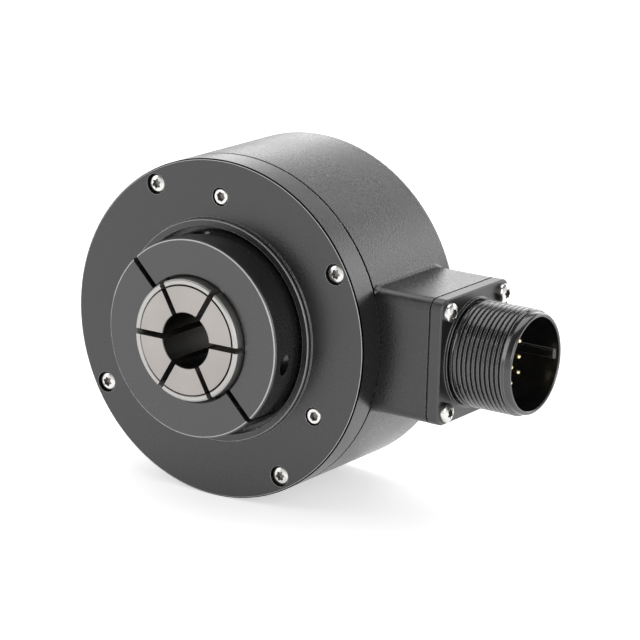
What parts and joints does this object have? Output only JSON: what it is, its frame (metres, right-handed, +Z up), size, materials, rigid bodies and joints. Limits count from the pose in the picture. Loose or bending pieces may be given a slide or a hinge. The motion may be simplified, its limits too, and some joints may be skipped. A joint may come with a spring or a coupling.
{
  "type": "rotary encoder",
  "caption": "Hollow-shaft rotary encoder: round sealed housing, split clamp collar on a slotted shaft with a reducing sleeve, and a side box with a threaded round connector.",
  "frame": {"origin": "on the shaft axis, in the plane of the cover's front face", "axes": "+Y along the shaft from the clamp collar into the housing, +X from the shaft to the connector, +Z up as the part lies on its round side"},
  "size_m": [0.1303, 0.0615, 0.093],
  "materials": {
    "cover_black": "satin black, fine texture",
    "housing_black": "satin black powder coat",
    "collar_black": "black anodised, satin",
    "shell_black": "black anodised",
    "stainless": "machined stainless",
    "insert_metal": "bead-blasted warm grey",
    "bearing_steel": "ground bearing steel",
    "bare_aluminium": "machined",
    "seal_rubber": "matt",
    "insert_black": "moulded",
    "part_plastic": "moulded",
    "contact_gold": "gold plated",
    "disc_glass": "clear with a dark track",
    "board_green": "solder mask"
  },
  "bodies": {
    "casing": {"front_cover": "cover_black", "housing": "housing_black", "cover_screws": "stainless", "tether_screws": "stainless", "cover_seal": "seal_rubber", "front_seal": "seal_rubber", "rear_seal": "seal_rubber", "front_outer_race": "bearing_steel", "rear_outer_race": "bearing_steel", "outer_spacer": "bare_aluminium", "bearing_retainer": "bare_aluminium", "retainer_screws": "stainless", "board_posts": "bare_aluminium", "circuit_board": "board_green", "board_screws": "stainless", "optical_head": "part_plastic", "lamp": "part_plastic", "light_sensor": "part_plastic", "board_header": "part_plastic", "driver_chip": "part_plastic", "connector_gasket": "seal_rubber", "connector_shell": "shell_black", "connector_insert": "insert_black", "connector_pins": "contact_gold", "connector_screws": "stainless"},
    "rotor": {"hollow_shaft": "stainless", "bore_insert": "insert_metal", "collar_head_half": "collar_black", "collar_thread_half": "collar_black", "clamp_screws": "stainless", "front_inner_race": "bearing_steel", "rear_inner_race": "bearing_steel", "inner_spacer": "bare_aluminium", "retaining_ring": "bearing_steel", "disc_hub": "bare_aluminium", "code_disc": "disc_glass", "disc_clamp_ring": "bare_aluminium", "disc_screws": "stainless"},
    "front_ball_set": {"front_balls": "bearing_steel", "front_cage": "part_plastic"},
    "rear_ball_set": {"rear_balls": "bearing_steel", "rear_cage": "part_plastic"}
  },
  "joints": [
    {"name": "shaft_spin", "type": "hinge", "parent": "casing", "child": "rotor", "pos_m": [0, 0, 0], "axis": [0, 1, 0], "continuous": true},
    {"name": "front_cage_spin", "type": "hinge", "parent": "casing", "child": "front_ball_set", "pos_m": [0, 0.0089, 0], "axis": [0, 1, 0], "continuous": true},
    {"name": "rear_cage_spin", "type": "hinge", "parent": "casing", "child": "rear_ball_set", "pos_m": [0, 0.0245, 0], "axis": [0, 1, 0], "continuous": true}
  ],
  "couplings": [
    {"joint": "front_cage_spin", "follows": "shaft_spin", "ratio": 0.45732},
    {"joint": "rear_cage_spin", "follows": "shaft_spin", "ratio": 0.45732}
  ]
}
